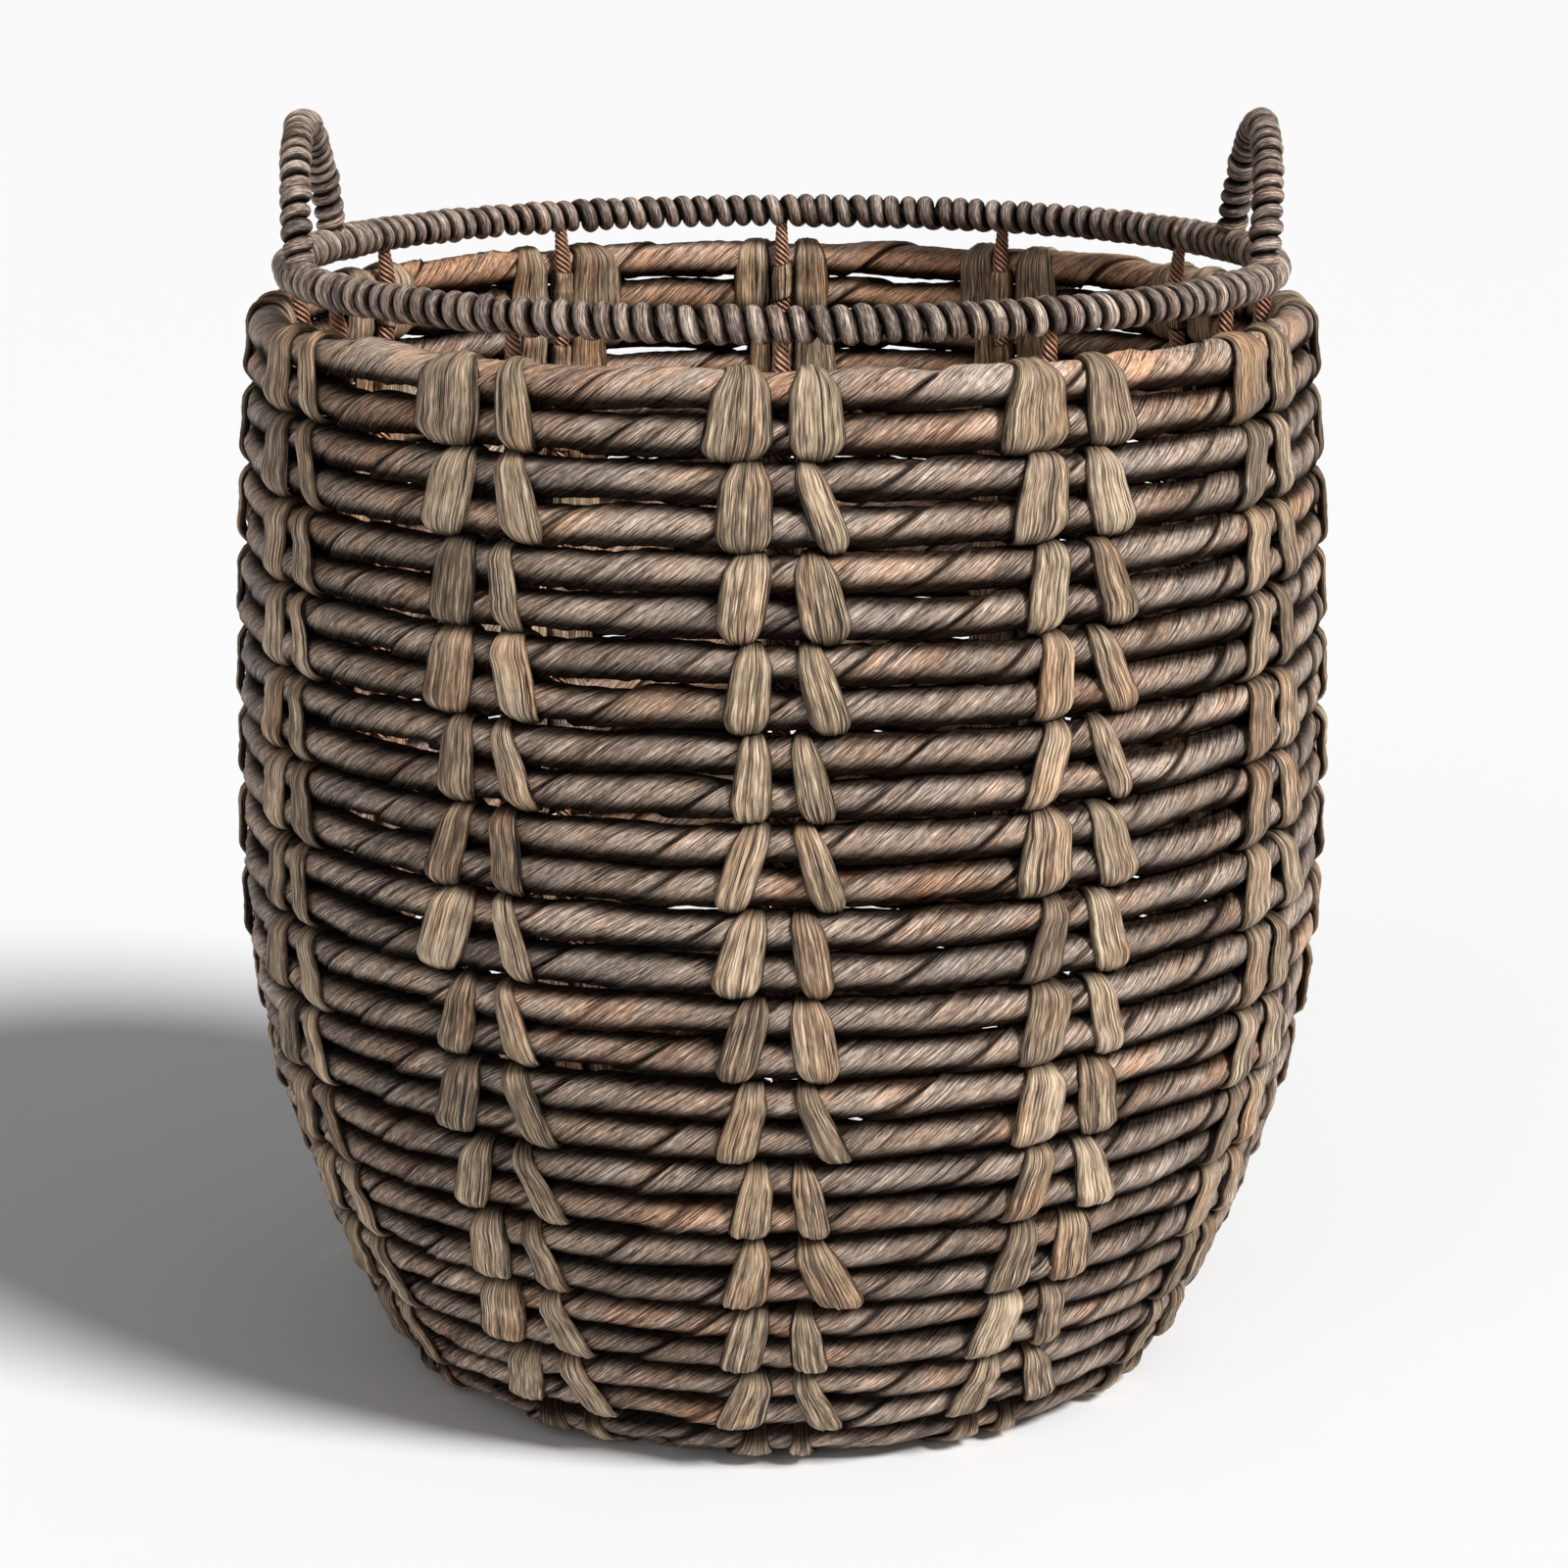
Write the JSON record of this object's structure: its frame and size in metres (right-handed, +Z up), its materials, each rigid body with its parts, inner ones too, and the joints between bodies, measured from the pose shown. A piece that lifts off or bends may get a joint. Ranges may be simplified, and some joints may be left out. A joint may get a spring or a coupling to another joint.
{
  "type": "woven log basket",
  "caption": "Tall round log basket of twisted leaf ropes bound in pairs to upright stakes, with an open top, a wrapped rim and two fixed arched side handles.",
  "frame": {"origin": "middle of the foot, on the surface the basket stands on", "axes": "+Z up through the open top, +X through one handle and -X through the other, -Y towards the front"},
  "size_m": [0.4862, 0.4862, 0.5627],
  "materials": {
    "leaf_rope": "dry twisted leaf, matt to faintly waxy, brown-grey",
    "leaf_strip": "flat dry leaf strip with lengthwise fibres, olive-beige",
    "stake_cord": "tightly twisted coppery brown fibre cord",
    "rim_cord": "wound grey-brown fibre cord",
    "wire": "dark brown coated steel wire"
  },
  "bodies": {
    "root": {"wall_rope_01": "leaf_rope", "wall_rope_02": "leaf_rope", "wall_rope_03": "leaf_rope", "wall_rope_04": "leaf_rope", "wall_rope_05": "leaf_rope", "wall_rope_06": "leaf_rope", "wall_rope_07": "leaf_rope", "wall_rope_08": "leaf_rope", "wall_rope_09": "leaf_rope", "wall_rope_10": "leaf_rope", "wall_rope_11": "leaf_rope", "wall_rope_12": "leaf_rope", "wall_rope_13": "leaf_rope", "wall_rope_14": "leaf_rope", "wall_rope_15": "leaf_rope", "wall_rope_16": "leaf_rope", "wall_rope_17": "leaf_rope", "wall_rope_18": "leaf_rope", "wall_rope_19": "leaf_rope", "wall_rope_20": "leaf_rope", "wall_rope_21": "leaf_rope", "wall_rope_22": "leaf_rope", "wall_rope_23": "leaf_rope", "wall_rope_24": "leaf_rope", "wall_rope_25": "leaf_rope", "wall_rope_26": "leaf_rope", "wall_rope_27": "leaf_rope", "wall_rope_28": "leaf_rope", "wall_bindings_01": "leaf_strip", "wall_bindings_02": "leaf_strip", "wall_bindings_03": "leaf_strip", "wall_bindings_04": "leaf_strip", "wall_bindings_05": "leaf_strip", "wall_bindings_06": "leaf_strip", "wall_bindings_07": "leaf_strip", "wall_bindings_08": "leaf_strip", "wall_bindings_09": "leaf_strip", "wall_bindings_10": "leaf_strip", "wall_bindings_11": "leaf_strip", "wall_bindings_12": "leaf_strip", "stake_01": "stake_cord", "stake_02": "stake_cord", "stake_03": "stake_cord", "stake_04": "stake_cord", "stake_05": "stake_cord", "stake_06": "stake_cord", "stake_07": "stake_cord", "stake_08": "stake_cord", "stake_09": "stake_cord", "stake_10": "stake_cord", "stake_11": "stake_cord", "stake_12": "stake_cord", "base_ropes": "leaf_rope", "base_bindings": "leaf_strip", "rim_hoop": "wire", "rim_wrap": "rim_cord", "handle_core_left": "wire", "handle_core_right": "wire", "handle_wrap_left": "rim_cord", "handle_wrap_right": "rim_cord"}
  },
  "joints": []
}
